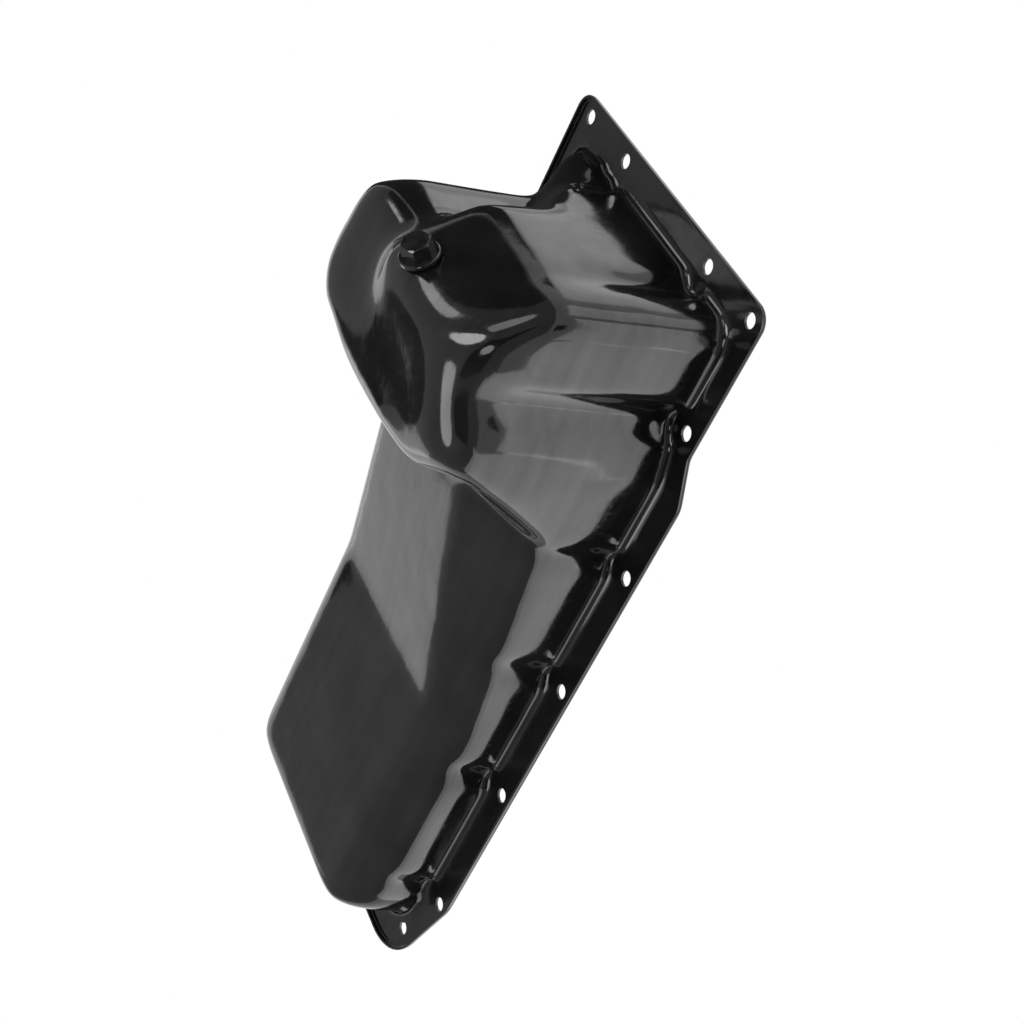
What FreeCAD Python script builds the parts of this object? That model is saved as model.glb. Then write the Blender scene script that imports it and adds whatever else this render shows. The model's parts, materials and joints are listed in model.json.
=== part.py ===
import FreeCAD, Part
import Sketcher
import math
import os
import re

# Stamped steel engine oil pan with its drain plug, in millimetres, as it hangs under the engine.
# Origin: rear bolt row, on the centre line, on the face that meets the engine block.
# +X runs to the rear (the deep end), +Y to the left side, +Z up; the pan lies below the origin.

SIZES = {
    # steel sheet the pan is pressed from
    "sheet": 1.6,
    # bolting flange and its turned-down rim, seen from above
    "flange_rear": 12,
    "flange_front": 532,
    "flange_narrow_half": 117.5,
    "flange_wide_half": 131,
    "flange_step_start": 85,
    "flange_step_end": 110,
    "flange_taper_start": 450,
    "flange_front_half": 107.7,
    "flange_rear_round": 12,
    "flange_front_round": 42,
    "flange_step_round": 14,
    "least_turn": 5,
    "rim_height": 4.1,
    "rim_bend": 1.2,
    # bolt holes
    "bolt_hole": 9,
    "rear_bolt_inner": 54,
    "rear_bolt_outer": 104,
    "notch_bolt_back": 76.5,
    "side_bolt_half": 119.5,
    "side_bolt_one": 170,
    "side_bolt_two": 261,
    "side_bolt_three": 352,
    "side_bolt_four": 456,
    "corner_bolt_back": 503.5,
    "corner_bolt_half": 100.5,
    "front_bolt_back": 522,
    "front_bolt_half": 40,
    # shallow tub: its walls where they meet the flange
    "tub_rear": 13,
    "tub_narrow_half": 97,
    "tub_wide_half": 106,
    "tub_step_start": 84,
    "tub_step_end": 112,
    "tub_taper_start": 455,
    "tub_front_half": 99,
    "tub_front": 510.5,
    "tub_draft": 5,
    "tub_reach": 105,
    "tub_mouth": 8,
    "tub_front_round": 42,
    "tub_rear_round": 14,
    "tub_step_round": 25,
    # floor of the tub, and the ramp that runs from it down to the sump
    "floor_depth": 51,
    "floor_left_half": 75,
    "floor_right_half": 75.6,
    "ramp_start": 322,
    "ramp_end": 122,
    "ramp_depth": 95,
    "ramp_left_half": 50.2,
    "ramp_right_half": 57,
    "bevel_rise": 0.74,
    "bevel_width": 60,
    "floor_round": 9,
    # hollow of the right rear corner
    "shoulder_back": 5,
    "shoulder_side": 74,
    "shoulder_depth": 4,
    "shoulder_turn": 47.5,
    "shoulder_tilt": 131.4,
    # flutes beside the bolts
    "flute_radius": 12,
    "flute_half": 112,
    "notch_radius": 14,
    "notch_half": 102,
    "rear_flute_radius": 13,
    "rear_flute_back": 7,
    # sump
    "sump_front": 157.5,
    "sump_front_half": 50,
    "sump_shoulder": 122,
    "sump_half": 105.4,
    "sump_waist": 84,
    "sump_waist_half": 96,
    "sump_left_back": 62,
    "sump_rear": 44,
    "sump_left_rear": 60,
    "sump_right_rear": 79,
    "sump_right_back": 60,
    "sump_right_waist": 93,
    "sump_right_side": 88,
    "sump_depth": 132,
    "sump_draft": 0.4,
    "sump_front_round": 22,
    "sump_rear_round": 14,
    "sump_floor_round": 9,
    # drain block, the deepest part of the sump, with the sloping rear face that carries the plug
    "block_rear": 14,
    "block_half": 96,
    "block_right_half": 33,
    "block_front": 153,
    "block_front_half": 52,
    "block_shoulder_half": 103.5,
    "block_reach": 158,
    "block_floor_start": 146,
    "block_floor_depth": 131,
    "block_draft": 3,
    "block_right_round": 20,
    "block_left_round": 14,
    "block_floor_round": 7,
    "block_bevel_half": 60,
    "block_bevel_depth": 154,
    "block_bevel_rise": 0.7,
    # drain plug seat: middle of the plug hole, and the run of the sloping face below and above it
    "plug_back": 50,
    "plug_side": 5,
    "plug_depth": 141,
    "seat_angle": 38,
    "seat_down": 15,
    "seat_up": 146,
    # drain plug, its washer and the weld nut inside the pan
    "thread": 12,
    "plug_reach": 15.5,
    "tip_chamfer": 1.2,
    "across_flats": 16,
    "head_height": 8.5,
    "head_chamfer": 1.6,
    "collar_radius": 11.8,
    "collar_height": 2.4,
    "collar_chamfer": 0.6,
    "washer_radius": 10.2,
    "washer_thick": 1.6,
    "washer_clearance": 0.2,
    "nut_radius": 10,
    "nut_height": 9,
    "nut_chamfer": 1,
    "thread_clearance": 0.05,
    "hole_clearance": 0.5,
}

doc = FreeCAD.newDocument("engine_oil_pan")
sizes = doc.addObject("Spreadsheet::Sheet", "sizes")
for row, name in enumerate(SIZES, start=1):
    sizes.set("A%d" % row, name)
    sizes.set("B%d" % row, str(SIZES[name]))
    sizes.setAlias("B%d" % row, name)
doc.recompute()

X_AXIS = FreeCAD.Vector(1, 0, 0)
Y_AXIS = FreeCAD.Vector(0, 1, 0)
Z_AXIS = FreeCAD.Vector(0, 0, 1)
PLANES = {
    "XY_Plane": FreeCAD.Rotation(),
    "XZ_Plane": FreeCAD.Rotation(X_AXIS, 90),
    "YZ_Plane": FreeCAD.Rotation(FreeCAD.Vector(1, 1, 1), 120),
}


def bound(text):
    """The text with each size named in it read from the sheet."""
    return re.sub(r"[a-z]\w+", lambda m: "sizes." + m.group() if m.group() in SIZES else m.group(), text)


def read(text):
    """Value of a text of sizes."""
    value = sizes.evalExpression(bound(text))
    return float(getattr(value, "Value", value))


def bind(thing, links):
    """Binds properties of an object to texts of sizes."""
    for name, text in links.items():
        thing.setExpression(name, bound(text))


def place_point(sketch, index, spot, point, label):
    """Holds one point of a sketch at x and y given as texts of sizes."""
    for way, text, axis in (("DistanceX", point[0], "x"), ("DistanceY", point[1], "y")):
        number = sketch.addConstraint(Sketcher.Constraint(way, -1, 1, index, spot, read(text)))
        sketch.renameConstraint(number, label + axis)
        sketch.setExpression("Constraints." + label + axis, bound(text))


def draw(sketch, points):
    """Closed outline of straight lines through points given as texts of sizes."""
    spots = [FreeCAD.Vector(read(x), read(y), 0) for x, y in points]
    count = len(spots)
    for i in range(count):
        sketch.addGeometry(Part.LineSegment(spots[i], spots[(i + 1) % count]), False)
    for i in range(count):
        sketch.addConstraint(Sketcher.Constraint("Coincident", i, 2, (i + 1) % count, 1))
    for i in range(count):
        place_point(sketch, i, 1, points[i], "corner%d" % i)


def outline(name, plane, points):
    """Outline on a plane through the origin."""
    sketch = doc.addObject("Sketcher::SketchObject", name)
    sketch.Placement = FreeCAD.Placement(FreeCAD.Vector(), PLANES[plane])
    draw(sketch, points)
    return sketch


def mirrored(points):
    """The points on the left side followed by the same ones on the right side."""
    return points + [(x, "-(" + y + ")") for x, y in reversed(points)]


def inner(name, sketch, text):
    """The outline moved by a distance: out when the text is positive, in when it is negative."""
    offset = doc.addObject("Part::Offset2D", name)
    offset.Source = sketch
    offset.Join = "Intersection"
    bind(offset, {"Value": text})
    return offset


def drafted(name, sketch, inset, mouth, reach, draft):
    """Solid whose plane walls lean in by the draft as they go down from the outline, set in from it."""
    corners = [vertex.Point for vertex in sketch.Shape.Wires[0].OrderedVertexes]
    count = len(corners)
    if sum(corners[i - 1].cross(corners[i]).z for i in range(count)) < 0:
        corners.reverse()
    walls = [Z_AXIS.cross(corners[(i + 1) % count] - corners[i]).normalize() for i in range(count)]
    lean = math.tan(math.radians(read(draft)))
    rings = []
    for level in (read(mouth), -read(reach)):
        move = read(inset) * math.hypot(1, lean) - level * lean
        rings.append([
            corners[i] + (walls[i - 1] + walls[i]) * (move / (1 + walls[i - 1].dot(walls[i]))) + Z_AXIS * level
            for i in range(count)
        ])
    sides = [[rings[0][i - 1], rings[0][i], rings[1][i], rings[1][i - 1]] for i in range(count)]
    faces = [Part.Face(Part.makePolygon(ring + ring[:1])) for ring in rings + sides]
    solid = doc.addObject("Part::Feature", name)
    solid.Shape = Part.Solid(Part.Shell(faces))
    return solid


def prism(name, base, direction, links):
    """Solid swept from an outline along a direction."""
    solid = doc.addObject("Part::Extrusion", name)
    solid.Base = base
    solid.DirMode = "Custom"
    solid.Dir = direction
    solid.Solid = True
    bind(solid, links)
    return solid


def cut(name, base, tool):
    """Base less tool."""
    result = doc.addObject("Part::Cut", name)
    result.Base = base
    result.Tool = tool
    result.Refine = True
    return result


def join(name, pieces):
    """Pieces joined into one."""
    result = doc.addObject("Part::MultiFuse", name)
    result.Shapes = pieces
    result.Refine = True
    return result


def middle(edge):
    """Middle point of an edge."""
    return edge.valueAt((edge.FirstParameter + edge.LastParameter) / 2)


def upright(edge):
    """True for an edge that runs steeply."""
    chord = edge.Vertexes[-1].Point - edge.Vertexes[0].Point
    return abs(chord.z) > 2 * (abs(chord.x) + abs(chord.y))


def rounded(name, base, radius, wanted, kind="Part::Fillet"):
    """Base with the wanted edges rounded, or bevelled by a chamfer; the radius is a text of sizes."""
    doc.recompute()
    result = doc.addObject(kind, name)
    result.Base = base
    edges = base.Shape.Edges
    chosen = [i + 1 for i in range(len(edges)) if wanted(edges[i], middle(edges[i]))]
    if not chosen:
        raise ValueError("no edges to round for " + name)
    result.Edges = [(i, read(radius), read(radius)) for i in chosen]
    return result


def step_rounded(name, base, radius, part, step):
    """Base with the steps from its narrow to its wide half rounded, where they turn enough to show."""
    rise = "(" + part + "_wide_half - " + part + "_narrow_half)"
    run = "(" + step + "_end - " + step + "_start)"
    if read("abs(atan(" + rise + " / " + run + "))") < read("least_turn"):
        return base
    return rounded(name, base, radius, lambda e, m: upright(e)
                   and -read(step + "_end + tub_rear_round") < m.x < -read(step + "_start / 2"))


# Outlines shared by the outer and the inner skin of the sheet.
TUB = mirrored([
    ("-tub_rear", "tub_narrow_half"),
    ("-tub_step_start", "tub_narrow_half"),
    ("-tub_step_end", "tub_wide_half"),
    ("-tub_taper_start", "tub_wide_half"),
    ("-tub_front", "tub_front_half"),
])
FLOOR = [
    ("-tub_front * 1.1", "-floor_depth"),
    ("-ramp_start", "-floor_depth"),
    ("-ramp_end", "-ramp_depth"),
    ("-ramp_end", "-tub_reach * 1.1"),
    ("-tub_front * 1.1", "-tub_reach * 1.1"),
]


def bevel(sign, half):
    """Section of what is taken off one side of the tub below its bevel."""
    return [
        (sign + half, "-floor_depth"),
        (sign + "(" + half + " + bevel_width)", "-floor_depth + bevel_width * bevel_rise"),
        (sign + "(" + half + " + bevel_width)", "-tub_reach * 1.2"),
        (sign + half, "-tub_reach * 1.2"),
    ]


SUMP = [
    ("-sump_front", "sump_front_half"),
    ("-sump_shoulder", "sump_half"),
    ("-sump_waist", "sump_waist_half"),
    ("-sump_left_back", "sump_waist_half"),
    ("-sump_rear", "sump_left_rear"),
    ("-sump_rear", "-sump_right_rear"),
    ("-sump_right_back", "-sump_right_waist"),
    ("-sump_right_side", "-sump_half"),
    ("-sump_shoulder", "-sump_half"),
    ("-sump_front", "-sump_front_half"),
]
BLOCK = [
    ("-block_rear", "-block_right_half"),
    ("-block_rear", "block_half"),
    ("-tub_step_start", "block_half"),
    ("-tub_step_end", "block_shoulder_half"),
    ("-sump_shoulder", "block_shoulder_half"),
    ("-block_front", "block_front_half"),
    ("-block_front", "-block_right_half"),
]
BLOCK_FLOOR = [
    ("-plug_back + seat_up * sin(seat_angle)", "-plug_depth + seat_up * cos(seat_angle)"),
    ("-plug_back - seat_down * sin(seat_angle)", "-plug_depth - seat_down * cos(seat_angle)"),
    ("-block_floor_start", "-block_floor_depth"),
    ("-2 * block_floor_start + plug_back + seat_down * sin(seat_angle)",
     "-2 * block_floor_depth + plug_depth + seat_down * cos(seat_angle)"),
    ("-2 * block_floor_start + plug_back", "-block_reach * 1.3"),
    ("-plug_back + seat_up * sin(seat_angle)", "-block_reach * 1.3"),
]
BLOCK_BEVEL = [
    ("block_bevel_half", "-block_bevel_depth"),
    ("block_bevel_half + block_half", "-block_bevel_depth + block_half * block_bevel_rise"),
    ("block_bevel_half + block_half", "-block_reach * 1.3"),
    ("block_bevel_half", "-block_reach * 1.3"),
]
BOLTS = [
    ("0", "rear_bolt_inner"),
    ("0", "rear_bolt_outer"),
    ("-notch_bolt_back", "rear_bolt_outer"),
    ("-side_bolt_one", "side_bolt_half"),
    ("-side_bolt_two", "side_bolt_half"),
    ("-side_bolt_three", "side_bolt_half"),
    ("-side_bolt_four", "side_bolt_half"),
    ("-corner_bolt_back", "corner_bolt_half"),
    ("-front_bolt_back", "front_bolt_half"),
]
FLUTES = [
    ("-rear_flute_back", "rear_bolt_inner", "rear_flute_radius"),
    ("-notch_bolt_back", "notch_half", "notch_radius"),
    ("-side_bolt_one", "flute_half", "flute_radius"),
    ("-side_bolt_two", "flute_half", "flute_radius"),
    ("-side_bolt_three", "flute_half", "flute_radius"),
    ("-side_bolt_four", "flute_half", "flute_radius"),
]

tub_outline = outline("tub_outline", "XY_Plane", TUB)
floor_outline = outline("floor_outline", "XZ_Plane", FLOOR)
left_bevel_outline = outline("left_bevel_outline", "YZ_Plane", bevel("", "floor_left_half"))
right_bevel_outline = outline("right_bevel_outline", "YZ_Plane", bevel("-", "floor_right_half"))
sump_outline = outline("sump_outline", "XY_Plane", SUMP)
block_outline = outline("block_outline", "XY_Plane", BLOCK)
block_floor_outline = outline("block_floor_outline", "XZ_Plane", BLOCK_FLOOR)
block_bevel_outline = outline("block_bevel_outline", "YZ_Plane", BLOCK_BEVEL)
for profile in (left_bevel_outline, right_bevel_outline):
    bind(profile, {"Placement.Base.x": "-ramp_start"})
bind(block_bevel_outline, {"Placement.Base.x": "block_half"})
doc.recompute()


def skin(side, inset, mouth):
    """Solid bounded by one skin of the sheet: inset 0 for the outer, the sheet for the inner."""

    def lined(name, sketch):
        if inset == "0":
            return sketch
        return inner(side + name, sketch, inset)

    # shallow tub with drafted walls, floor, ramp and side bevels
    tub = drafted(side + "_tub", tub_outline, inset, mouth, "tub_reach", "tub_draft")
    tub = rounded(side + "_tub_front_corners", tub, "tub_front_round - " + inset,
                  lambda e, m: upright(e) and m.x < -read("(tub_taper_start + tub_front) / 2"))
    tub = rounded(side + "_tub_rear_corners", tub, "tub_rear_round - " + inset,
                  lambda e, m: upright(e) and m.x > -read("tub_step_start / 2"))
    tub = step_rounded(side + "_tub_steps", tub, "tub_step_round", "tub", "tub_step")
    floor = prism(side + "_floor", lined("_floor_line", floor_outline), Y_AXIS, {
        "LengthFwd": "tub_wide_half * 1.5",
        "LengthRev": "tub_wide_half * 1.5",
    })
    tub = cut(side + "_tub_floored", tub, floor)
    shift = inset + " * tan(atan((ramp_depth - floor_depth) / (ramp_start - ramp_end)) / 2)"
    for hand, section, narrowing in (
        ("left", left_bevel_outline, "ramp_left_half - floor_left_half"),
        ("right", right_bevel_outline, "floor_right_half - ramp_right_half"),
    ):
        line = lined("_" + hand + "_bevel_line", section)
        slope = FreeCAD.Vector(read("ramp_start - ramp_end"), read(narrowing), read("floor_depth - ramp_depth"))
        level = prism(side + "_" + hand + "_bevel_front", line, -X_AXIS, {
            "LengthFwd": "tub_front",
            "Placement.Base.x": shift,
        })
        ramp = prism(side + "_" + hand + "_bevel_ramp", line, slope, {
            "LengthFwd": "%.9g" % slope.Length,
            "Placement.Base.x": shift,
        })
        tub = cut(side + "_" + hand + "_bevelled", tub, join(side + "_" + hand + "_bevel", [level, ramp]))
    hollow = doc.addObject("Part::Box", side + "_shoulder")
    bind(hollow, {"Length": "tub_front", "Width": "tub_front", "Height": "tub_wide_half"})
    turn = FreeCAD.Rotation(Z_AXIS, -read("shoulder_turn")) * FreeCAD.Rotation(Y_AXIS, read("shoulder_tilt"))
    spot = FreeCAD.Vector(-read("shoulder_back"), -read("shoulder_side"), -read("shoulder_depth"))
    lean = turn.multVec(FreeCAD.Vector(-read("tub_front / 2"), -read("tub_front / 2"), -read(inset)))
    hollow.Placement = FreeCAD.Placement(spot + lean, turn)
    tub = cut(side + "_tub_shoulder", tub, hollow)
    tub = rounded(side + "_tub_floor_round", tub, "floor_round - " + inset,
                  lambda e, m: m.z < -read("floor_depth / 3") and m.x < -read("ramp_end + sheet + 1")
                  and not upright(e))

    # sump below the rear of the tub
    sump = drafted(side + "_sump", sump_outline, inset, "0", "sump_depth - " + inset, "sump_draft")
    sump = rounded(side + "_sump_front_corners", sump, "sump_front_round - " + inset,
                   lambda e, m: upright(e) and m.x < -read("sump_shoulder - sump_rear_round"))
    sump = rounded(side + "_sump_rear_corners", sump, "sump_rear_round - " + inset,
                   lambda e, m: upright(e) and m.x > -read("sump_shoulder - sump_rear_round")
                   and m.y < 0)
    sump = rounded(side + "_sump_floor_round", sump, "sump_floor_round - " + inset,
                   lambda e, m: m.z < -read("sump_depth - sump_floor_round / 2"))

    # drain block with the sloping face for the plug
    block = drafted(side + "_block", block_outline, inset, "0", "block_reach", "block_draft")
    under = prism(side + "_block_under", lined("_block_floor_line", block_floor_outline), Y_AXIS, {
        "LengthFwd": "block_half * 1.5",
        "LengthRev": "block_half * 1.5",
    })
    block = cut(side + "_block_floored", block, under)
    corner = prism(side + "_block_corner", lined("_block_bevel_line", block_bevel_outline), -X_AXIS, {
        "LengthFwd": "sump_front * 2",
    })
    block = cut(side + "_block_bevelled", block, corner)
    block = rounded(side + "_block_right_corner", block, "block_right_round - " + inset,
                    lambda e, m: upright(e) and m.x > -read("tub_step_start / 2") and m.y < 0)
    block = rounded(side + "_block_left_corner", block, "block_left_round - " + inset,
                    lambda e, m: upright(e) and m.x > -read("tub_step_start / 2") and m.y > 0)
    block = rounded(side + "_block_floor_round", block, "block_floor_round - " + inset,
                    lambda e, m: not upright(e) and m.z < -read("block_floor_depth * 0.72")
                    and m.y < read("block_half - 12") and m.x > -read("sump_shoulder + 3"))

    # flutes that leave room for the bolt heads
    posts = []
    for i, (x, y, radius) in enumerate(FLUTES):
        for sign in ("", "-"):
            post = doc.addObject("Part::Cylinder", "%s_flute_%d%s" % (side, i, "r" if sign else "l"))
            bind(post, {
                "Radius": radius + " + " + inset,
                "Height": "block_reach + tub_mouth * 2",
                "Placement.Base.x": x,
                "Placement.Base.y": sign + y,
                "Placement.Base.z": "-block_reach",
            })
            posts.append(post)
    whole = join(side + "_form", [tub, sump, block])
    return cut(side + "_skin", whole, join(side + "_flutes", posts))


outer_skin = skin("outer", "0", "0")
inner_skin = skin("inner", "sheet", "tub_mouth")

# Bolting flange: a flat plate whose edge is turned down into a low rim.
flange_outline = outline("flange_outline", "XY_Plane", mirrored([
    ("flange_rear", "flange_narrow_half"),
    ("-flange_step_start", "flange_narrow_half"),
    ("-flange_step_end", "flange_wide_half"),
    ("-flange_taper_start", "flange_wide_half"),
    ("-flange_front", "flange_front_half"),
]))


def flange_block(name, base, inset, links):
    """Flange outline swept down, with its corners rounded."""
    solid = prism(name, base, -Z_AXIS, links)
    solid = rounded(name + "_rear", solid, "flange_rear_round - " + inset,
                    lambda e, m: upright(e) and m.x > 0)
    solid = step_rounded(name + "_step", solid, "flange_step_round", "flange", "flange_step")
    return rounded(name + "_front", solid, "flange_front_round - " + inset,
                   lambda e, m: upright(e) and m.x < -read("flange_taper_start - flange_rear_round"))


plate = flange_block("flange", flange_outline, "0", {"LengthFwd": "rim_height"})
plate = rounded("flange_bend", plate, "rim_bend", lambda e, m: abs(m.z) < read("sheet / 9"), "Part::Chamfer")
hollow_outline = inner("flange_hollow_outline", flange_outline, "-sheet")
under_plate = flange_block("flange_hollow", hollow_outline, "sheet", {"LengthFwd": "rim_height * 2"})
keep = doc.addObject("Part::Box", "flange_sheet")
bind(keep, {
    "Length": "flange_front + flange_rear * 4",
    "Width": "flange_wide_half * 3",
    "Height": "sheet * 3",
    "Placement.Base.x": "-flange_front - flange_rear",
    "Placement.Base.y": "-flange_wide_half * 1.5",
    "Placement.Base.z": "-sheet",
})
under_plate = cut("flange_underside", under_plate, keep)
plate = cut("flange_plate", plate, under_plate)

# Bolt holes, one circle each.
bolt_circles = doc.addObject("Sketcher::SketchObject", "bolt_circles")
for i, (x, y) in enumerate(mirrored(BOLTS)):
    bolt_circles.addGeometry(Part.Circle(FreeCAD.Vector(read(x), read(y), 0), Z_AXIS, read("bolt_hole / 2")), False)
    place_point(bolt_circles, i, 3, (x, y), "bolt%d" % i)
    number = bolt_circles.addConstraint(Sketcher.Constraint("Diameter", i, read("bolt_hole")))
    bolt_circles.renameConstraint(number, "hole%d" % i)
    bolt_circles.setExpression("Constraints.hole%d" % i, bound("bolt_hole"))
bolt_holes = prism("bolt_holes", bolt_circles, Z_AXIS, {"LengthFwd": "sheet * 2", "LengthRev": "sheet * 2"})

plug_hole = doc.addObject("Part::Cylinder", "plug_hole")
plug_hole.Placement.Rotation = FreeCAD.Rotation(Y_AXIS, 90)
SEAT = {
    "Placement.Base.x": "-plug_back",
    "Placement.Base.y": "plug_side",
    "Placement.Base.z": "-plug_depth",
    "Placement.Rotation.Angle": "90 + seat_angle",
}
bind(plug_hole, {
    "Radius": "thread / 2 + hole_clearance",
    "Height": "sheet * 6",
    "Placement.Base.x": SEAT["Placement.Base.x"] + " - sheet * 3 * cos(seat_angle)",
    "Placement.Base.y": SEAT["Placement.Base.y"],
    "Placement.Base.z": SEAT["Placement.Base.z"] + " + sheet * 3 * sin(seat_angle)",
    "Placement.Rotation.Angle": SEAT["Placement.Rotation.Angle"],
})

stamping = join("stamping", [outer_skin, plate])
oil_pan = cut("oil_pan", stamping, join("hollow", [inner_skin, bolt_holes, plug_hole]))
oil_pan.Label = "oil_pan"


def new_body(name):
    """Body whose own Z axis is the axis of the drain plug, pointing out of the pan."""
    body = doc.addObject("PartDesign::Body", name)
    body.Label = name
    body.Placement.Rotation = FreeCAD.Rotation(Y_AXIS, 90)
    bind(body, SEAT)
    return body


def body_sketch(body, name, role, points):
    """Outline on one of the body's own origin planes."""
    sketch = body.newObject("Sketcher::SketchObject", name)
    plane = [item for item in body.Origin.OriginFeatures if item.Role == role][0]
    sketch.AttachmentSupport = [(plane, "")]
    sketch.MapMode = "FlatFace"
    draw(sketch, points)
    return sketch


def turned(body, kind, name, points):
    """Profile in the XZ plane turned round the body's Z axis."""
    sketch = body_sketch(body, name + "_profile", "XZ_Plane", points)
    feature = body.newObject(kind, name)
    feature.Profile = sketch
    feature.ReferenceAxis = (sketch, ["V_Axis"])
    feature.Angle = 360
    return feature


# Drain plug: threaded shank, collar and hexagon head.
drain_plug = new_body("drain_plug")
turned(drain_plug, "PartDesign::Revolution", "plug_shank_and_collar", [
    ("0", "washer_thick - plug_reach"),
    ("thread / 2 - tip_chamfer", "washer_thick - plug_reach"),
    ("thread / 2", "washer_thick - plug_reach + tip_chamfer"),
    ("thread / 2", "washer_thick"),
    ("collar_radius", "washer_thick"),
    ("collar_radius", "washer_thick + collar_height - collar_chamfer"),
    ("collar_radius - collar_chamfer", "washer_thick + collar_height"),
    ("0", "washer_thick + collar_height"),
])
hexagon = body_sketch(drain_plug, "hexagon", "XY_Plane", [
    ("across_flats / 2 / cos(30) * cos(%d)" % a, "across_flats / 2 / cos(30) * sin(%d)" % a)
    for a in range(0, 360, 60)
])
bind(hexagon, {"AttachmentOffset.Base.z": "washer_thick + collar_height / 2"})
head = drain_plug.newObject("PartDesign::Pad", "plug_head")
head.Profile = hexagon
bind(head, {"Length": "collar_height / 2 + head_height"})
turned(drain_plug, "PartDesign::Groove", "plug_head_chamfer", [
    ("across_flats * 0.48", "washer_thick + collar_height + head_height"),
    ("across_flats * 0.7", "washer_thick + collar_height + head_height"),
    ("across_flats * 0.7", "washer_thick + collar_height + head_height - head_chamfer * 1.2"),
])

# Sealing washer under the collar of the plug.
plug_washer = new_body("plug_washer")
turned(plug_washer, "PartDesign::Revolution", "washer_ring", [
    ("thread / 2 + washer_clearance", "0"),
    ("washer_radius", "0"),
    ("washer_radius", "washer_thick"),
    ("thread / 2 + washer_clearance", "washer_thick"),
])

# Weld nut on the inside of the sheet, which holds the plug's thread.
weld_nut = new_body("weld_nut")
turned(weld_nut, "PartDesign::Revolution", "nut_ring", [
    ("thread / 2 + thread_clearance", "-sheet"),
    ("nut_radius", "-sheet"),
    ("nut_radius", "nut_chamfer - sheet - nut_height"),
    ("nut_radius - nut_chamfer", "-sheet - nut_height"),
    ("thread / 2 + thread_clearance", "-sheet - nut_height"),
])

doc.recompute()

# Every object must have rebuilt, and each piece must be one sound solid, before any file is written.
for thing in doc.Objects:
    if "Invalid" in thing.State or "Error" in thing.State:
        raise RuntimeError("did not rebuild: " + thing.Label)
PIECES = [oil_pan, drain_plug, plug_washer, weld_nut]
for piece in PIECES:
    if piece.Shape.isNull() or not piece.Shape.isValid() or len(piece.Shape.Solids) != 1:
        raise RuntimeError("not one sound solid: " + piece.Label)

os.makedirs("parts", exist_ok=True)
for piece in PIECES:
    piece.Shape.exportStep("parts/" + piece.Label + ".step")
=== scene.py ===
import json
import math
import bmesh
import bpy
import numpy as np
from mathutils import Matrix, Vector
from mathutils.bvhtree import BVHTree
from mathutils.geometry import delaunay_2d_cdt


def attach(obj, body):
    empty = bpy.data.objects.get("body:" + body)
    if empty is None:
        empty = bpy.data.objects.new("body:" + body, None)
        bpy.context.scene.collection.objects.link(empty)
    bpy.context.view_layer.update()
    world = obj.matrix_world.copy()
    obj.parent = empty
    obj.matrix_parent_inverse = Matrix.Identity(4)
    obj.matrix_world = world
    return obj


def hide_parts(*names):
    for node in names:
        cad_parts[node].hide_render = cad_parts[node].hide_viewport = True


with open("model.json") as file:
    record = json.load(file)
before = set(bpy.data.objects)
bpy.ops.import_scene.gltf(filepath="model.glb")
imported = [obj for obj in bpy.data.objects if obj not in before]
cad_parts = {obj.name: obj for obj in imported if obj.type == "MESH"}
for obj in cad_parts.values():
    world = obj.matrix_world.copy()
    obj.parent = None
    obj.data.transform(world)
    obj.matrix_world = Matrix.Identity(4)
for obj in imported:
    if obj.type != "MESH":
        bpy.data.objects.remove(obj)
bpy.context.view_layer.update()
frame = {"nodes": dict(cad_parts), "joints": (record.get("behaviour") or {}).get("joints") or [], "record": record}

# Engine oil pan, in metres. The CAD pan is drawn again as one soft pressed sheet. The drain plug, its
# washer and the weld nut stay CAD nodes, and get rounded edges and a finish.
MILLIMETRE = 0.001
SHEET = 0.0016

# Flange and turned-down rim. The flange's upper face is at zero.
UNDER = -SHEET
RIM_FOOT = -0.0041
RIM_BEND = 0.0012
RIM_BEND_STEPS = 3
EDGE_STRIP = 0.001
BOLT_HOLE_SIDES = 36

# Seat of the drain plug, from the joint that the plug turns on.
plug_joint = next(joint for joint in frame["joints"] if joint["name"] == "plug_turn")
SEAT = Vector(plug_joint["pos_m"])
SEAT_WAY = Vector(plug_joint["axis"])
SEAT_OPENING = 0.0088
PLUG_HOLE_RADIUS = 0.0065
PLUG_HOLE_SIDES = 32
COVER_RADIUS = 0.008
COVER_SIDES = 24

# Lid that shuts the pan's mouth while the skin is made.
LID_MIDDLE = -0.26
LID_LENGTH = 0.66
LID_WIDTH = 0.38
LID_HEIGHT = 0.008

# Making of the skin: size of its mesh's faces, lift off a CAD face for the look upwards, distance of
# the cut from the flange, and the angle from which an edge is sharp.
VOXEL = 0.0024
LOOK_LIFT = 0.0004
CUT_DROP = 0.00006
SHARP = math.radians(50)

# Distances within which points count as one, lie on one level, or lie on a cut or a line.
MERGE = 1e-6
JOIN = 2e-6
LEVEL = 2e-5
CUT_SNAP = 1e-7
LINE_SNAP = 1e-8

# Softening of the skin. A round moves each point by a share of half the way to its neighbours'
# middle. The share is small at the flange, less in the shallow tub than in the sump, and nothing on
# the plug's seat. The bottom rounds come last and work on the bottom of the sump only.
ROUNDS = 46
BOTTOM_ROUNDS = 80
HALF_WAY = 0.5
FLANGE_SHARE = 0.16
FLANGE_DEPTH = 0.004
FLANGE_FADE = 0.012
TUB_SHARE = 0.65
SUMP_DEPTH = 0.045
SUMP_FRONT = -0.18
SUMP_FADE = 0.03
BOTTOM_DEPTH = 0.105
BOTTOM_FADE = 0.02
SEAT_THICKNESS = 0.004
SEAT_RADIUS = 0.011
SEAT_FADE = 0.006

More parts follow.
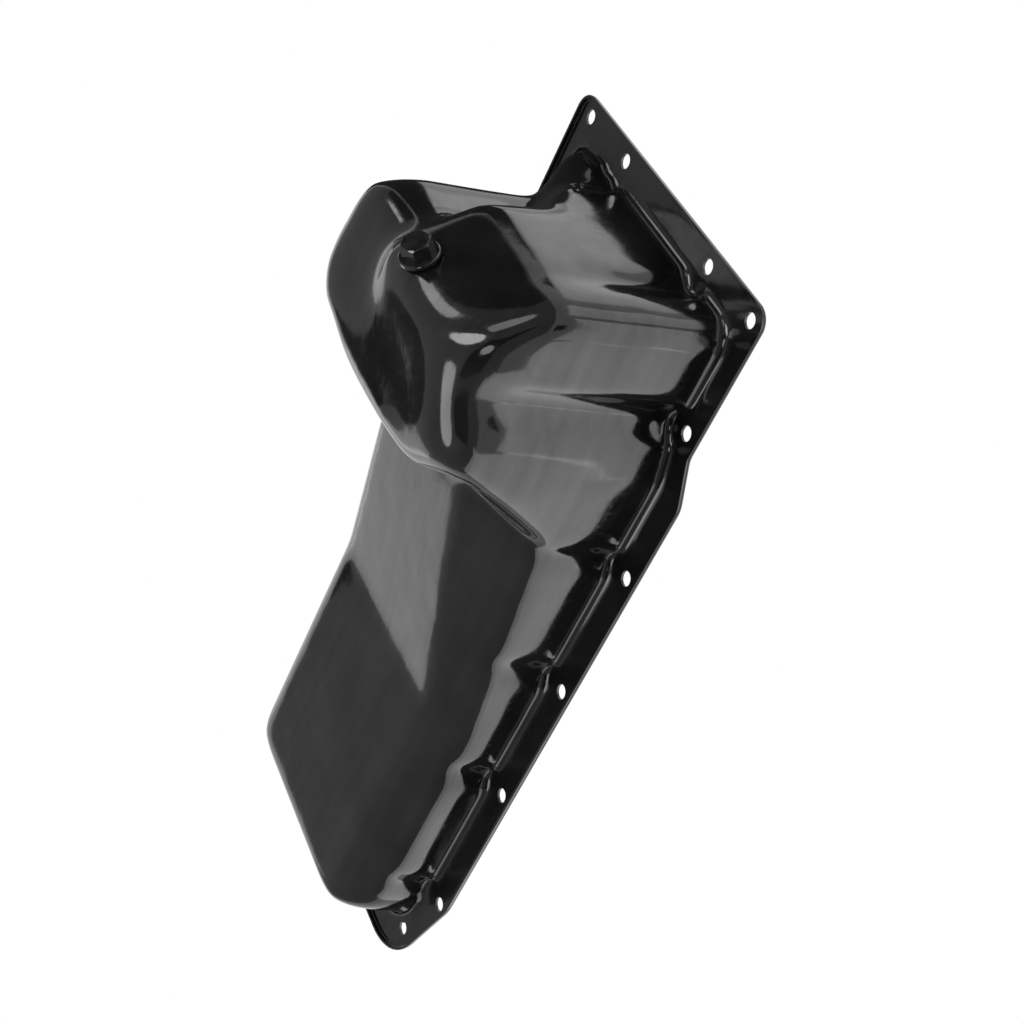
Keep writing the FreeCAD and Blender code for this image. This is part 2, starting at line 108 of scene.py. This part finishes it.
# Swell of the sump's far rear corner: its outline from above, and its upper and lower level.
REAR_OUTLINE = [
    (-0.050, -0.040), (-0.050, -0.075), (-0.054, -0.088), (-0.064, -0.095), (-0.100, -0.100),
    (-0.124, -0.102), (-0.142, -0.088), (-0.147, -0.020), (-0.145, 0.030), (-0.120, 0.030),
]
REAR_LEVELS = (-0.060, -0.1395)
REAR_SWELL = [(x, y, z) for x, y in REAR_OUTLINE for z in REAR_LEVELS]

# Swell of the sump's near front corner, which runs out into the side wall.
FRONT_SWELL = [
    (-0.118, 0.1045, -0.026), (-0.166, 0.1040, -0.026), (-0.166, 0.1030, -0.050),
    (-0.122, 0.1020, -0.124), (-0.152, 0.062, -0.092), (-0.118, 0.060, -0.124),
    (-0.118, 0.060, -0.026), (-0.160, 0.060, -0.060),
]

# Hump under the flange, in the far rear corner of the tub: its outline at each level.
HUMP_OUTLINES = {
    0.001: [
        (-0.0145, -0.050), (-0.0145, -0.092), (-0.020, -0.100), (-0.034, -0.103),
        (-0.056, -0.102), (-0.060, -0.050),
    ],
    -0.016: [
        (-0.0165, -0.050), (-0.0165, -0.084), (-0.024, -0.093), (-0.038, -0.096), (-0.056, -0.094),
    ],
    -0.027: [(-0.022, -0.055), (-0.030, -0.076), (-0.056, -0.080), (-0.060, -0.050)],
}
HUMP = [(x, y, level) for level, outline in HUMP_OUTLINES.items() for x, y in outline]

# Edges of the small CAD nodes.
EDGE_ROUND = 0.0006
EDGE_STEPS = 2
EDGE_ANGLE = math.radians(28)

# Studio: floor, and the strength of the white surroundings as they are seen and as they light.
FLOOR_MIDDLE = (-0.25, 0, -1.25)
FLOOR_WIDTH = 18
SEEN_STRENGTH = 1
LIGHTING_STRENGTH = 0.45
SPOT_DISTANCE = 0.8

# Camera as fitted to the photograph: place in metres, turn in degrees, lens in millimetres.
CAMERA_PLACE = (0.39713, 0.77260, -0.63230)
CAMERA_TURN = (6.68412, -122.79165, -136.16055)
CAMERA_LENS = 66.165
CAMERA_SENSOR = 36
CAMERA_SHIFT = (-0.00152, -0.0146)
CAMERA_NEAR = 0.01
CAMERA_FAR = 100


def placed(name, data):
    """New object in the scene with some data."""
    thing = bpy.data.objects.new(name, data)
    bpy.context.scene.collection.objects.link(thing)
    return thing


def from_bmesh(name, bm):
    """New object in the scene with a mesh that was built up, which is then freed."""
    mesh = bpy.data.meshes.new(name)
    bm.to_mesh(mesh)
    bm.free()
    return placed(name, mesh)


def evaluated(thing):
    """Mesh of an object with its modifiers, and the object removed."""
    bpy.context.view_layer.update()
    depsgraph = bpy.context.evaluated_depsgraph_get()
    mesh = bpy.data.meshes.new_from_object(thing.evaluated_get(depsgraph))
    bpy.data.objects.remove(thing)
    return mesh


# Rings and circles.
def circle(radius, sides):
    """Points of a circle round the origin, in the plane."""
    turns = [2 * math.pi * i / sides for i in range(sides)]
    return [Vector((radius * math.cos(turn), radius * math.sin(turn))) for turn in turns]


def circle_round(centre, way, radius, sides):
    """Points of a circle round an axis in space."""
    turn = way.to_track_quat("Z", "Y").to_matrix()
    return [centre + turn @ point.to_3d() for point in circle(radius, sides)]


def rings_of(edges):
    """Closed rings that some edges form, as lists of vertices in order."""
    links = {}
    for edge in edges:
        one, other = edge.verts
        links.setdefault(one, []).append(other)
        links.setdefault(other, []).append(one)
    rings = []
    left = dict.fromkeys(links)
    while left:
        start = next(iter(left))
        ring = [start]
        last, here = start, links[start][0]
        while here is not start:
            ring.append(here)
            last, here = here, next(v for v in links[here] if v is not last)
        for v in ring:
            left.pop(v, None)
        rings.append(ring)
    return rings


def open_rings(bm):
    """Rings of the edges that have one face only."""
    return rings_of(edge for edge in bm.edges if edge.is_boundary)


def inset(ring, distance):
    """Ring moved inwards, with mitred corners; the ring runs counter-clockwise."""
    moved = []
    for i, point in enumerate(ring):
        before = (point - ring[i - 1]).normalized()
        after = (ring[(i + 1) % len(ring)] - point).normalized()
        inwards_before = Vector((-before.y, before.x))
        inwards_after = Vector((-after.y, after.x))
        reach = distance / (1 + inwards_before.dot(inwards_after))
        moved.append(point + (inwards_before + inwards_after) * reach)
    return moved


def inside(points, ring):
    """True for each point inside a ring."""
    x, y = points[:, 0], points[:, 1]
    ring = np.array(ring)
    hit = np.zeros(len(points), bool)
    for (x0, y0), (x1, y1) in zip(ring, np.roll(ring, -1, axis=0)):
        if y0 != y1:
            cross = (y0 > y) != (y1 > y)
            hit ^= cross & (x < (x1 - x0) * (y - y0) / (y1 - y0) + x0)
    return hit


# The pressing's outside, shut all round.
def cad_pan():
    """The CAD pan as a mesh to work on, with its doubled points merged."""
    bm = bmesh.new()
    bm.from_mesh(frame["nodes"]["oil_pan"].data)
    bmesh.ops.remove_doubles(bm, verts=bm.verts, dist=MERGE)
    return bm


def closed_outside():
    """Outer faces of the CAD pan below the flange, with the swells, a seat cover and a lid."""
    bm = cad_pan()
    bm.normal_update()
    tree = BVHTree.FromBMesh(bm)
    up = Vector((0, 0, 1))
    drop = []
    for face in bm.faces:
        spot = face.calc_center_median() + face.normal * LOOK_LIFT
        on_flange = min(v.co.z for v in face.verts) > RIM_FOOT - LEVEL
        if on_flange or tree.ray_cast(spot, up)[0] is None:
            drop.append(face)
    bmesh.ops.delete(bm, geom=drop, context="FACES")
    for points in (REAR_SWELL, FRONT_SWELL, HUMP):
        bmesh.ops.convex_hull(bm, input=[bm.verts.new(point) for point in points])
    cover = circle_round(SEAT, SEAT_WAY, COVER_RADIUS, COVER_SIDES)
    bm.faces.new([bm.verts.new(point) for point in cover])
    lid_place = Matrix.Translation((LID_MIDDLE, 0, UNDER + LID_HEIGHT / 2))
    lid_size = Matrix.Diagonal((LID_LENGTH, LID_WIDTH, LID_HEIGHT, 1))
    bmesh.ops.create_cube(bm, size=1, matrix=lid_place @ lid_size)
    return from_bmesh("outside", bm)


# The soft skin.
def fade(value, start, length):
    """0 up to a start, 1 from a length beyond it, and a straight run between them."""
    return np.clip((value - start) / length, 0, 1)


def shares_of(places):
    """Share of each point's move, in the rounds for the whole skin and in those for the bottom."""
    depth = -places[:, 2]
    off = places - np.array(SEAT)
    along = off @ np.array(SEAT_WAY)
    away = np.linalg.norm(off - along[:, None] * np.array(SEAT_WAY), axis=1)
    free = np.where(np.abs(along) < SEAT_THICKNESS, fade(away, SEAT_RADIUS, SEAT_FADE), 1)
    below_flange = fade(depth, FLANGE_DEPTH - UNDER, FLANGE_FADE)
    in_sump = fade(depth, SUMP_DEPTH, SUMP_FADE) * fade(places[:, 0], SUMP_FRONT, SUMP_FADE)
    whole = FLANGE_SHARE + (1 - FLANGE_SHARE) * below_flange
    whole *= TUB_SHARE + (1 - TUB_SHARE) * in_sump
    return whole * free, fade(depth, BOTTOM_DEPTH, BOTTOM_FADE) * free


def soften(mesh):
    """Moves the points of a mesh towards the middle of their neighbours, round by round."""
    count = len(mesh.vertices)
    places = np.empty(count * 3)
    mesh.vertices.foreach_get("co", places)
    places = places.reshape(-1, 3)
    ends = np.empty(len(mesh.edges) * 2, int)
    mesh.edges.foreach_get("vertices", ends)
    one, other = ends.reshape(-1, 2).T
    neighbours = np.bincount(one, minlength=count) + np.bincount(other, minlength=count)
    whole, bottom = shares_of(places)
    for share in [whole] * ROUNDS + [bottom] * BOTTOM_ROUNDS:
        total = np.zeros_like(places)
        for axis in range(3):
            total[:, axis] = (np.bincount(one, places[other, axis], count)
                              + np.bincount(other, places[one, axis], count))
        places += (total / neighbours[:, None] - places) * (HALF_WAY * share)[:, None]
    mesh.vertices.foreach_set("co", places.ravel())


def keep_largest_part(bm):
    """Deletes all but the largest connected part."""
    left = set(bm.verts)
    parts = []
    while left:
        stack = [left.pop()]
        part = set(stack)
        while stack:
            for edge in stack.pop().link_edges:
                for v in edge.verts:
                    if v not in part:
                        part.add(v)
                        stack.append(v)
        left -= part
        parts.append(part)
    parts.sort(key=len, reverse=True)
    bmesh.ops.delete(bm, geom=[v for part in parts[1:] for v in part], context="VERTS")


def soft_skin():
    """The outside as one soft skin without thickness, open where the flange will be."""
    outside = closed_outside()
    remesh = outside.modifiers.new("voxels", "REMESH")
    remesh.mode = "VOXEL"
    remesh.voxel_size = VOXEL
    mesh = evaluated(outside)
    soften(mesh)
    skin = bmesh.new()
    skin.from_mesh(mesh)
    bpy.data.meshes.remove(mesh)
    everything = skin.verts[:] + skin.edges[:] + skin.faces[:]
    bmesh.ops.bisect_plane(skin, geom=everything, dist=CUT_SNAP, plane_co=(0, 0, UNDER - CUT_DROP),
                           plane_no=(0, 0, 1), clear_outer=True)
    keep_largest_part(skin)
    return skin


# The pan.
def cut_plug_hole(skin):
    """Opens the skin at the plug's seat and fills it again up to a round hole."""
    near = [f for f in skin.faces if (f.calc_center_median() - SEAT).length < SEAT_OPENING]
    bmesh.ops.delete(skin, geom=near, context="FACES")
    mouth = min(open_rings(skin), key=lambda ring: (ring[0].co - SEAT).length)
    points = circle_round(SEAT, SEAT_WAY, PLUG_HOLE_RADIUS, PLUG_HOLE_SIDES)
    hole = [skin.verts.new(point) for point in points]
    edges = [skin.edges.new((hole[i - 1], hole[i])) for i in range(len(hole))]
    edges += [skin.edges.get((mouth[i - 1], mouth[i])) for i in range(len(mouth))]
    bmesh.ops.bridge_loops(skin, edges=edges)


def bolt_holes():
    """Rings of the flange's bolt holes, from the bolt patterns among the record's mounts."""
    rings = []
    for mount in frame["record"]["mounts"]:
        if mount["kind"] != "bolt_pattern":
            continue
        sizes = mount["dims"]
        middle = Vector(mount["pos_m"]).xy
        half_x = sizes.get("spacing_x_mm", 0) / 2 * MILLIMETRE
        half_y = sizes["spacing_y_mm"] / 2 * MILLIMETRE
        rim = circle(sizes["hole_r_mm"] * MILLIMETRE, BOLT_HOLE_SIDES)
        for x in sorted({-half_x, half_x}):
            for y in (-half_y, half_y):
                rings.append([middle + Vector((x, y)) + point for point in rim])
    return rings


def foot_ring():
    """Inner edge of the foot of the CAD pan's rim, as points that run counter-clockwise."""
    bm = cad_pan()
    foot = {f for f in bm.faces if all(abs(v.co.z - RIM_FOOT) < LEVEL for v in f.verts)}
    border = [e for e in bm.edges if sum(f in foot for f in e.link_faces) == 1]
    rings = [[Vector(v.co.xy) for v in ring] for ring in rings_of(border)]
    bm.free()
    inner = min(rings, key=lambda ring: max(p.x for p in ring) - min(p.x for p in ring))
    area = sum(p.x * q.y - q.x * p.y for p, q in zip(inner, inner[1:] + inner[:1]))
    return inner if area > 0 else inner[::-1]


def add_flange(skin, root, edge):
    """Flat flange with its bolt holes, from the skin's upper end out to an edge."""
    for v in root:
        v.co.z = UNDER
    inner = [Vector(v.co.xy) for v in root]
    holes = bolt_holes()
    points, lines = [], []
    for ring in [edge, inner] + holes:
        first, count = len(points), len(ring)
        points += ring
        lines += [(first + i, first + (i + 1) % count) for i in range(count)]
    whole_hull = 0
    corners, _, faces, _, _, _ = delaunay_2d_cdt(points, lines, [], whole_hull, LINE_SNAP)
    middles = np.array([np.mean([corners[i] for i in face], axis=0) for face in faces])
    wanted = inside(middles, edge) & ~inside(middles, inner)
    for ring in holes:
        wanted &= ~inside(middles, ring)
    verts = [skin.verts.new((*corner, UNDER)) for corner in corners]
    for face, keep in zip(faces, wanted):
        if keep:
            skin.faces.new([verts[i] for i in face])


def add_rim(skin, edge, foot):
    """Bend and turned-down rim, from the flange's edge to the foot."""
    rows = [(edge, UNDER)]
    for step in range(RIM_BEND_STEPS + 1):
        turn = math.pi / 2 * step / RIM_BEND_STEPS
        level = UNDER - RIM_BEND * (1 - math.cos(turn))
        rows.append((inset(foot, RIM_BEND * (1 - math.sin(turn))), level))
    rows.append((foot, RIM_FOOT))
    rows = [[skin.verts.new((*point, level)) for point in ring] for ring, level in rows]
    for upper, lower in zip(rows, rows[1:]):
        for i in range(len(foot)):
            skin.faces.new((upper[i - 1], upper[i], lower[i], lower[i - 1]))


def join(skin):
    """Makes skin, flange and rim one mesh whose faces look outwards."""
    bmesh.ops.remove_doubles(skin, verts=skin.verts, dist=JOIN)
    bmesh.ops.delete(skin, geom=[v for v in skin.verts if not v.link_faces], context="VERTS")
    bmesh.ops.recalc_face_normals(skin, faces=skin.faces)
    lowest = min(skin.faces, key=lambda face: face.calc_center_median().z)
    if lowest.normal.z > 0:
        bmesh.ops.reverse_faces(skin, faces=skin.faces)


def pressed_pan():
    """The pan as one pressed sheet with its plug hole, flange, bolt holes, rim and thickness."""
    skin = soft_skin()
    root = max(open_rings(skin), key=len)
    cut_plug_hole(skin)
    foot = foot_ring()
    edge = inset(foot, RIM_BEND + EDGE_STRIP)
    add_flange(skin, root, edge)
    add_rim(skin, edge, foot)
    join(skin)
    thin = from_bmesh("pan_pressing", skin)
    sheet = thin.modifiers.new("sheet", "SOLIDIFY")
    sheet.thickness = SHEET
    sheet.offset = -1  # the skin is the outer face
    mesh = evaluated(thin)
    mesh.polygons.foreach_set("use_smooth", [True] * len(mesh.polygons))
    mesh.set_sharp_from_angle(angle=SHARP)
    mesh.materials.clear()
    return placed("pan_pressing", mesh)


# Materials.
class Nodes:
    """Small helper that adds and links the nodes of one material."""

    # numbers of the sockets that the Mix node uses for colours
    SHARE, FIRST, SECOND, RESULT = 0, 6, 7, 2

    def __init__(self, name):
        self.material = bpy.data.materials.new(name)
        self.material.use_nodes = True
        self.tree = self.material.node_tree
        self.shader = self.tree.nodes["Principled BSDF"]
        self.place = self.tree.nodes.new("ShaderNodeTexCoord").outputs["Object"]

    def give(self, socket, value):
        """Sets a socket to a value or links it to another socket."""
        if isinstance(value, bpy.types.NodeSocket):
            self.tree.links.new(value, socket)
        else:
            socket.default_value = value

    def set(self, name, value):
        self.give(self.shader.inputs[name], value)

    def add(self, kind, inputs):
        node = self.tree.nodes.new(kind)
        for key, value in inputs.items():
            self.give(node.inputs[key], value)
        return node

    def noise(self, scale, detail, stretch=(1, 1, 1)):
        """Noise over the object's own coordinates, finer along an axis where the stretch is more."""
        spot = self.add("ShaderNodeMapping", {"Vector": self.place, "Scale": stretch})
        inputs = {"Vector": spot.outputs[0], "Scale": scale, "Detail": detail}
        return self.add("ShaderNodeTexNoise", inputs).outputs[0]

    def spread(self, pattern, low, high, source=(0.3, 0.7)):
        """The source range of a pattern, spread over the values from low to high."""
        inputs = {"Value": pattern, "From Min": source[0], "From Max": source[1],
                  "To Min": low, "To Max": high}
        return self.add("ShaderNodeMapRange", inputs).outputs[0]

    def total(self, one, other):
        node = self.add("ShaderNodeMath", {0: one, 1: other})
        node.operation = "ADD"
        return node.outputs[0]

    def blend(self, share, first, second):
        node = self.tree.nodes.new("ShaderNodeMix")
        node.data_type = "RGBA"
        self.give(node.inputs[self.SHARE], share)
        self.give(node.inputs[self.FIRST], (*first, 1))
        self.give(node.inputs[self.SECOND], (*second, 1))
        return node.outputs[self.RESULT]

    def tint(self, pattern, dark, light):
        """Colours the shader between two tones, with clear patches of each."""
        share = self.spread(pattern, 0, 1, source=(0.35, 0.65))
        self.set("Base Color", self.blend(share, dark, light))

    def bump(self, height, strength, distance, normal=None):
        inputs = {"Height": height, "Strength": strength, "Distance": distance}
        if normal is not None:
            inputs["Normal"] = normal
        return self.add("ShaderNodeBump", inputs).outputs[0]


def grey(level, blue=0):
    """Grey tone, with a little more blue if given."""
    return (level, level, level + blue)


def enamel(name, dark, light, gloss, waves):
    """Glossy black paint over pressed steel: orange peel, waves of the sheet and drawing streaks."""
    paint = Nodes(name)
    peel = paint.noise(scale=700, detail=2)
    cloud = paint.noise(scale=22, detail=3)
    speck = paint.noise(scale=260, detail=4)
    streak = paint.noise(scale=9, detail=4, stretch=(1, 14, 5))
    line = paint.noise(scale=7, detail=5, stretch=(1, 16, 16))
    wave = paint.noise(scale=30, detail=1)
    paint.tint(cloud, dark, light)
    paint.set("IOR", 1.5)
    dull = paint.spread(speck, 0, 0.08, source=(0.5, 0.75))
    paint.set("Roughness", paint.total(paint.spread(cloud, gloss, gloss + 0.05), dull))
    film = paint.spread(line, 0.42, 0.54)
    paint.set("Specular IOR Level", paint.total(film, paint.spread(cloud, -0.04, 0.04)))
    normal = paint.bump(peel, strength=0.10, distance=0.00006)
    normal = paint.bump(streak, strength=0.12, distance=0.0006 * waves, normal=normal)
    normal = paint.bump(wave, strength=0.30, distance=0.0016 * waves, normal=normal)
    paint.set("Normal", normal)
    return paint.material


def satin_black():
    """Satin black finish of the plug's steel."""
    finish = Nodes("plug_finish")
    cloud = finish.noise(scale=160, detail=3)
    grain = finish.noise(scale=900, detail=2)
    finish.tint(cloud, grey(0.006), grey(0.014, blue=0.0005))
    finish.set("IOR", 1.5)
    finish.set("Roughness", finish.spread(cloud, 0.06, 0.14))
    finish.set("Normal", finish.bump(grain, strength=0.15, distance=0.0001))
    return finish.material


def rubber():
    """Black rubber of the sealing washer."""
    seal = Nodes("washer_rubber")
    grain = seal.noise(scale=1200, detail=3)
    seal.tint(grain, grey(0.010), grey(0.022))
    seal.set("Roughness", seal.spread(grain, 0.28, 0.45))
    seal.set("Normal", seal.bump(grain, strength=0.2, distance=0.0001))
    return seal.material


def matt(name, scale, dark, light, roughness):
    """Matt surface of the stage, with a faint pattern in its tone."""
    surface = Nodes(name)
    surface.set("Base Color", surface.blend(surface.noise(scale, detail=2), dark, light))
    surface.set("Roughness", roughness)
    return surface.material


def dress(node, material):
    """Gives a CAD node a material and fine rounded edges."""
    thing = frame["nodes"][node]
    for place in thing.material_slots:
        place.material = material
    weld = thing.modifiers.new("weld", "WELD")
    weld.merge_threshold = MERGE
    bevel = thing.modifiers.new("edge", "BEVEL")
    bevel.width = EDGE_ROUND
    bevel.segments = EDGE_STEPS
    bevel.limit_method = "ANGLE"
    bevel.angle_limit = EDGE_ANGLE
    thing.modifiers.new("even", "WEIGHTED_NORMAL").keep_sharp = True


# Studio.
def card(name, place, width, height, material):
    """Flat rectangle of the stage, in the plane of a place."""
    bm = bmesh.new()
    half_side = 0.5
    bmesh.ops.create_grid(bm, x_segments=1, y_segments=1, size=half_side,
                          matrix=place @ Matrix.Diagonal((width, height, 1, 1)))
    thing = from_bmesh(name, bm)
    thing.data.materials.append(material)
    return thing


def facing(spot, way, distance):
    """Place and turn of something flat that faces a spot from a distance in a direction."""
    way = Vector(way).normalized()
    place = Matrix.Translation(Vector(spot) + way * distance)
    return place @ way.to_track_quat("Z", "Y").to_matrix().to_4x4()


def softbox(name, spot, way, distance, width, height, level, shape="RECTANGLE"):
    """Area lamp whose mirror image has a level, in a direction seen from a spot on the paint."""
    data = bpy.data.lights.new(name, "AREA")
    data.shape = shape
    data.size = width
    data.size_y = height
    area = width * height * (math.pi / 4 if shape == "ELLIPSE" else 1)
    data.energy = level * math.pi * area
    lamp = placed(name, data)
    lamp.matrix_world = facing(spot, way, distance)
    lamp.visible_camera = False


def flag(name, spot, way, distance, width, height):
    """Black card that only darkens what the paint mirrors, in a direction seen from a spot."""
    felt = matt(name, scale=40, dark=grey(0.02), light=grey(0.04), roughness=0.95)
    thing = card(name, facing(spot, way, distance), width, height, felt)
    thing.visible_camera = False
    thing.visible_diffuse = False
    thing.visible_shadow = False


def surroundings():
    """White world that is brighter to the camera and in reflections than as a light."""
    world = bpy.data.worlds.new("studio")
    bpy.context.scene.world = world
    world.use_nodes = True
    tree = world.node_tree
    tree.nodes.clear()
    path = tree.nodes.new("ShaderNodeLightPath")
    seen = path.outputs["Is Camera Ray"]
    for ray in ("Is Glossy Ray", "Is Transmission Ray"):
        either = tree.nodes.new("ShaderNodeMath")
        either.operation = "MAXIMUM"
        tree.links.new(seen, either.inputs[0])
        tree.links.new(path.outputs[ray], either.inputs[1])
        seen = either.outputs[0]
    mix = tree.nodes.new("ShaderNodeMixShader")
    tree.links.new(seen, mix.inputs[0])
    for place, strength in ((1, LIGHTING_STRENGTH), (2, SEEN_STRENGTH)):
        white = tree.nodes.new("ShaderNodeBackground")
        white.inputs["Color"].default_value = (1, 1, 1, 1)
        white.inputs["Strength"].default_value = strength
        tree.links.new(white.outputs[0], mix.inputs[place])
    out = tree.nodes.new("ShaderNodeOutputWorld")
    tree.links.new(mix.outputs[0], out.inputs["Surface"])


def soft_boxes():
    """Large boxes that ramp, walls and block mirror, and small ones for the block's highlights."""
    softbox("ramp_box", spot=(-0.28, 0.02, -0.066), way=(-0.73, -0.65, -0.172),
            distance=1.3, width=0.62, height=0.34, level=0.75)
    softbox("side_box", spot=(-0.25, 0.1, -0.03), way=(-0.55, 0.72, 0.18),
            distance=1.3, width=1.35, height=1.45, level=1.85)
    softbox("near_box", spot=(-0.06, 0.1, -0.06), way=(0.30, 0.80, 0.66),
            distance=1.3, width=1.60, height=0.66, level=1.85)
    softbox("corner_box", spot=(-0.02, 0.08, -0.06), way=(0.88, 0.03, 0.45),
            distance=1.3, width=0.9, height=0.5, level=1.3)
    softbox("rear_box", spot=(-0.02, 0.05, -0.07), way=(0.50, -0.68, 0.51),
            distance=1.2, width=0.6, height=0.45, level=0.7)
    # spot, way, width, height and level of each small box
    highlights = (
        ((-0.053, 0.036, -0.144), (0.44, -0.72, -0.54), 0.36, 0.20, 3.8),
        ((-0.041, 0.076, -0.126), (0.77, -0.22, -0.59), 0.28, 0.20, 2.8),
        ((-0.054, 0.070, -0.140), (0.40, -0.10, -0.88), 0.36, 0.40, 8.0),
        ((-0.053, 0.082, -0.132), (0.23, 0.60, -0.76), 0.32, 0.28, 4.5),
        ((-0.083, 0.078, -0.140), (-0.56, 0.11, -0.82), 0.34, 0.36, 4.5),
    )
    for i, (spot, way, width, height, level) in enumerate(highlights):
        softbox("spot_%d" % i, spot, way, SPOT_DISTANCE, width, height, level, "ELLIPSE")


def flags():
    """Black cards that keep the boxes and the white surroundings out of some reflections."""
    flag("block_flag", spot=(-0.10, 0.03, -0.142), way=(-0.66, -0.73, -0.31),
         distance=0.9, width=0.22, height=0.25)
    flag("seat_flag", spot=(-0.035, 0.03, -0.12), way=(0.60, -0.74, -0.27),
         distance=0.9, width=0.50, height=0.26)
    flag("low_flag", spot=(-0.05, 0.08, -0.13), way=(0.10, 0.60, -0.72),
         distance=1.0, width=1.3, height=0.65)
    flag("corner_flag", spot=(-0.03, -0.08, -0.02), way=(-0.15, -0.90, 0.36),
         distance=0.8, width=0.42, height=0.30)
    flag("hump_flag", spot=(-0.02, -0.07, -0.02), way=(0.22, -0.97, 0.06),
         distance=0.8, width=1.0, height=0.42)
    flag("side_flag", spot=(-0.03, 0.09, -0.10), way=(0.26, 0.92, 0.22),
         distance=0.9, width=0.26, height=0.22)


def fitted_camera():
    """Camera at the place and in the direction of the photograph's."""
    camera = placed("camera", bpy.data.cameras.new("camera"))
    camera.location = CAMERA_PLACE
    camera.rotation_euler = [math.radians(angle) for angle in CAMERA_TURN]
    camera.data.sensor_width = CAMERA_SENSOR
    camera.data.lens = CAMERA_LENS
    camera.data.shift_x, camera.data.shift_y = CAMERA_SHIFT
    camera.data.clip_start = CAMERA_NEAR
    camera.data.clip_end = CAMERA_FAR
    return camera


pan = pressed_pan()
black_paint = enamel("black_enamel_paint", dark=grey(0.004, blue=0.0002),
                     light=grey(0.008, blue=0.0004), gloss=0.07, waves=1)
pan.data.materials.append(black_paint)
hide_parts("oil_pan")
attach(pan, "pan")

nut_paint = enamel("nut_paint", dark=grey(0.010, blue=0.0005),
                   light=grey(0.018, blue=0.001), gloss=0.2, waves=0.3)
dress("weld_nut", nut_paint)
dress("drain_plug", satin_black())
dress("plug_washer", rubber())

chalk = matt("pale_floor", scale=3, dark=grey(0.62), light=grey(0.66), roughness=0.9)
card("studio_floor", Matrix.Translation(FLOOR_MIDDLE), FLOOR_WIDTH, FLOOR_WIDTH, chalk)
surroundings()
soft_boxes()
flags()
bpy.context.scene.camera = fitted_camera()
bpy.context.scene.view_settings.view_transform = "Standard"
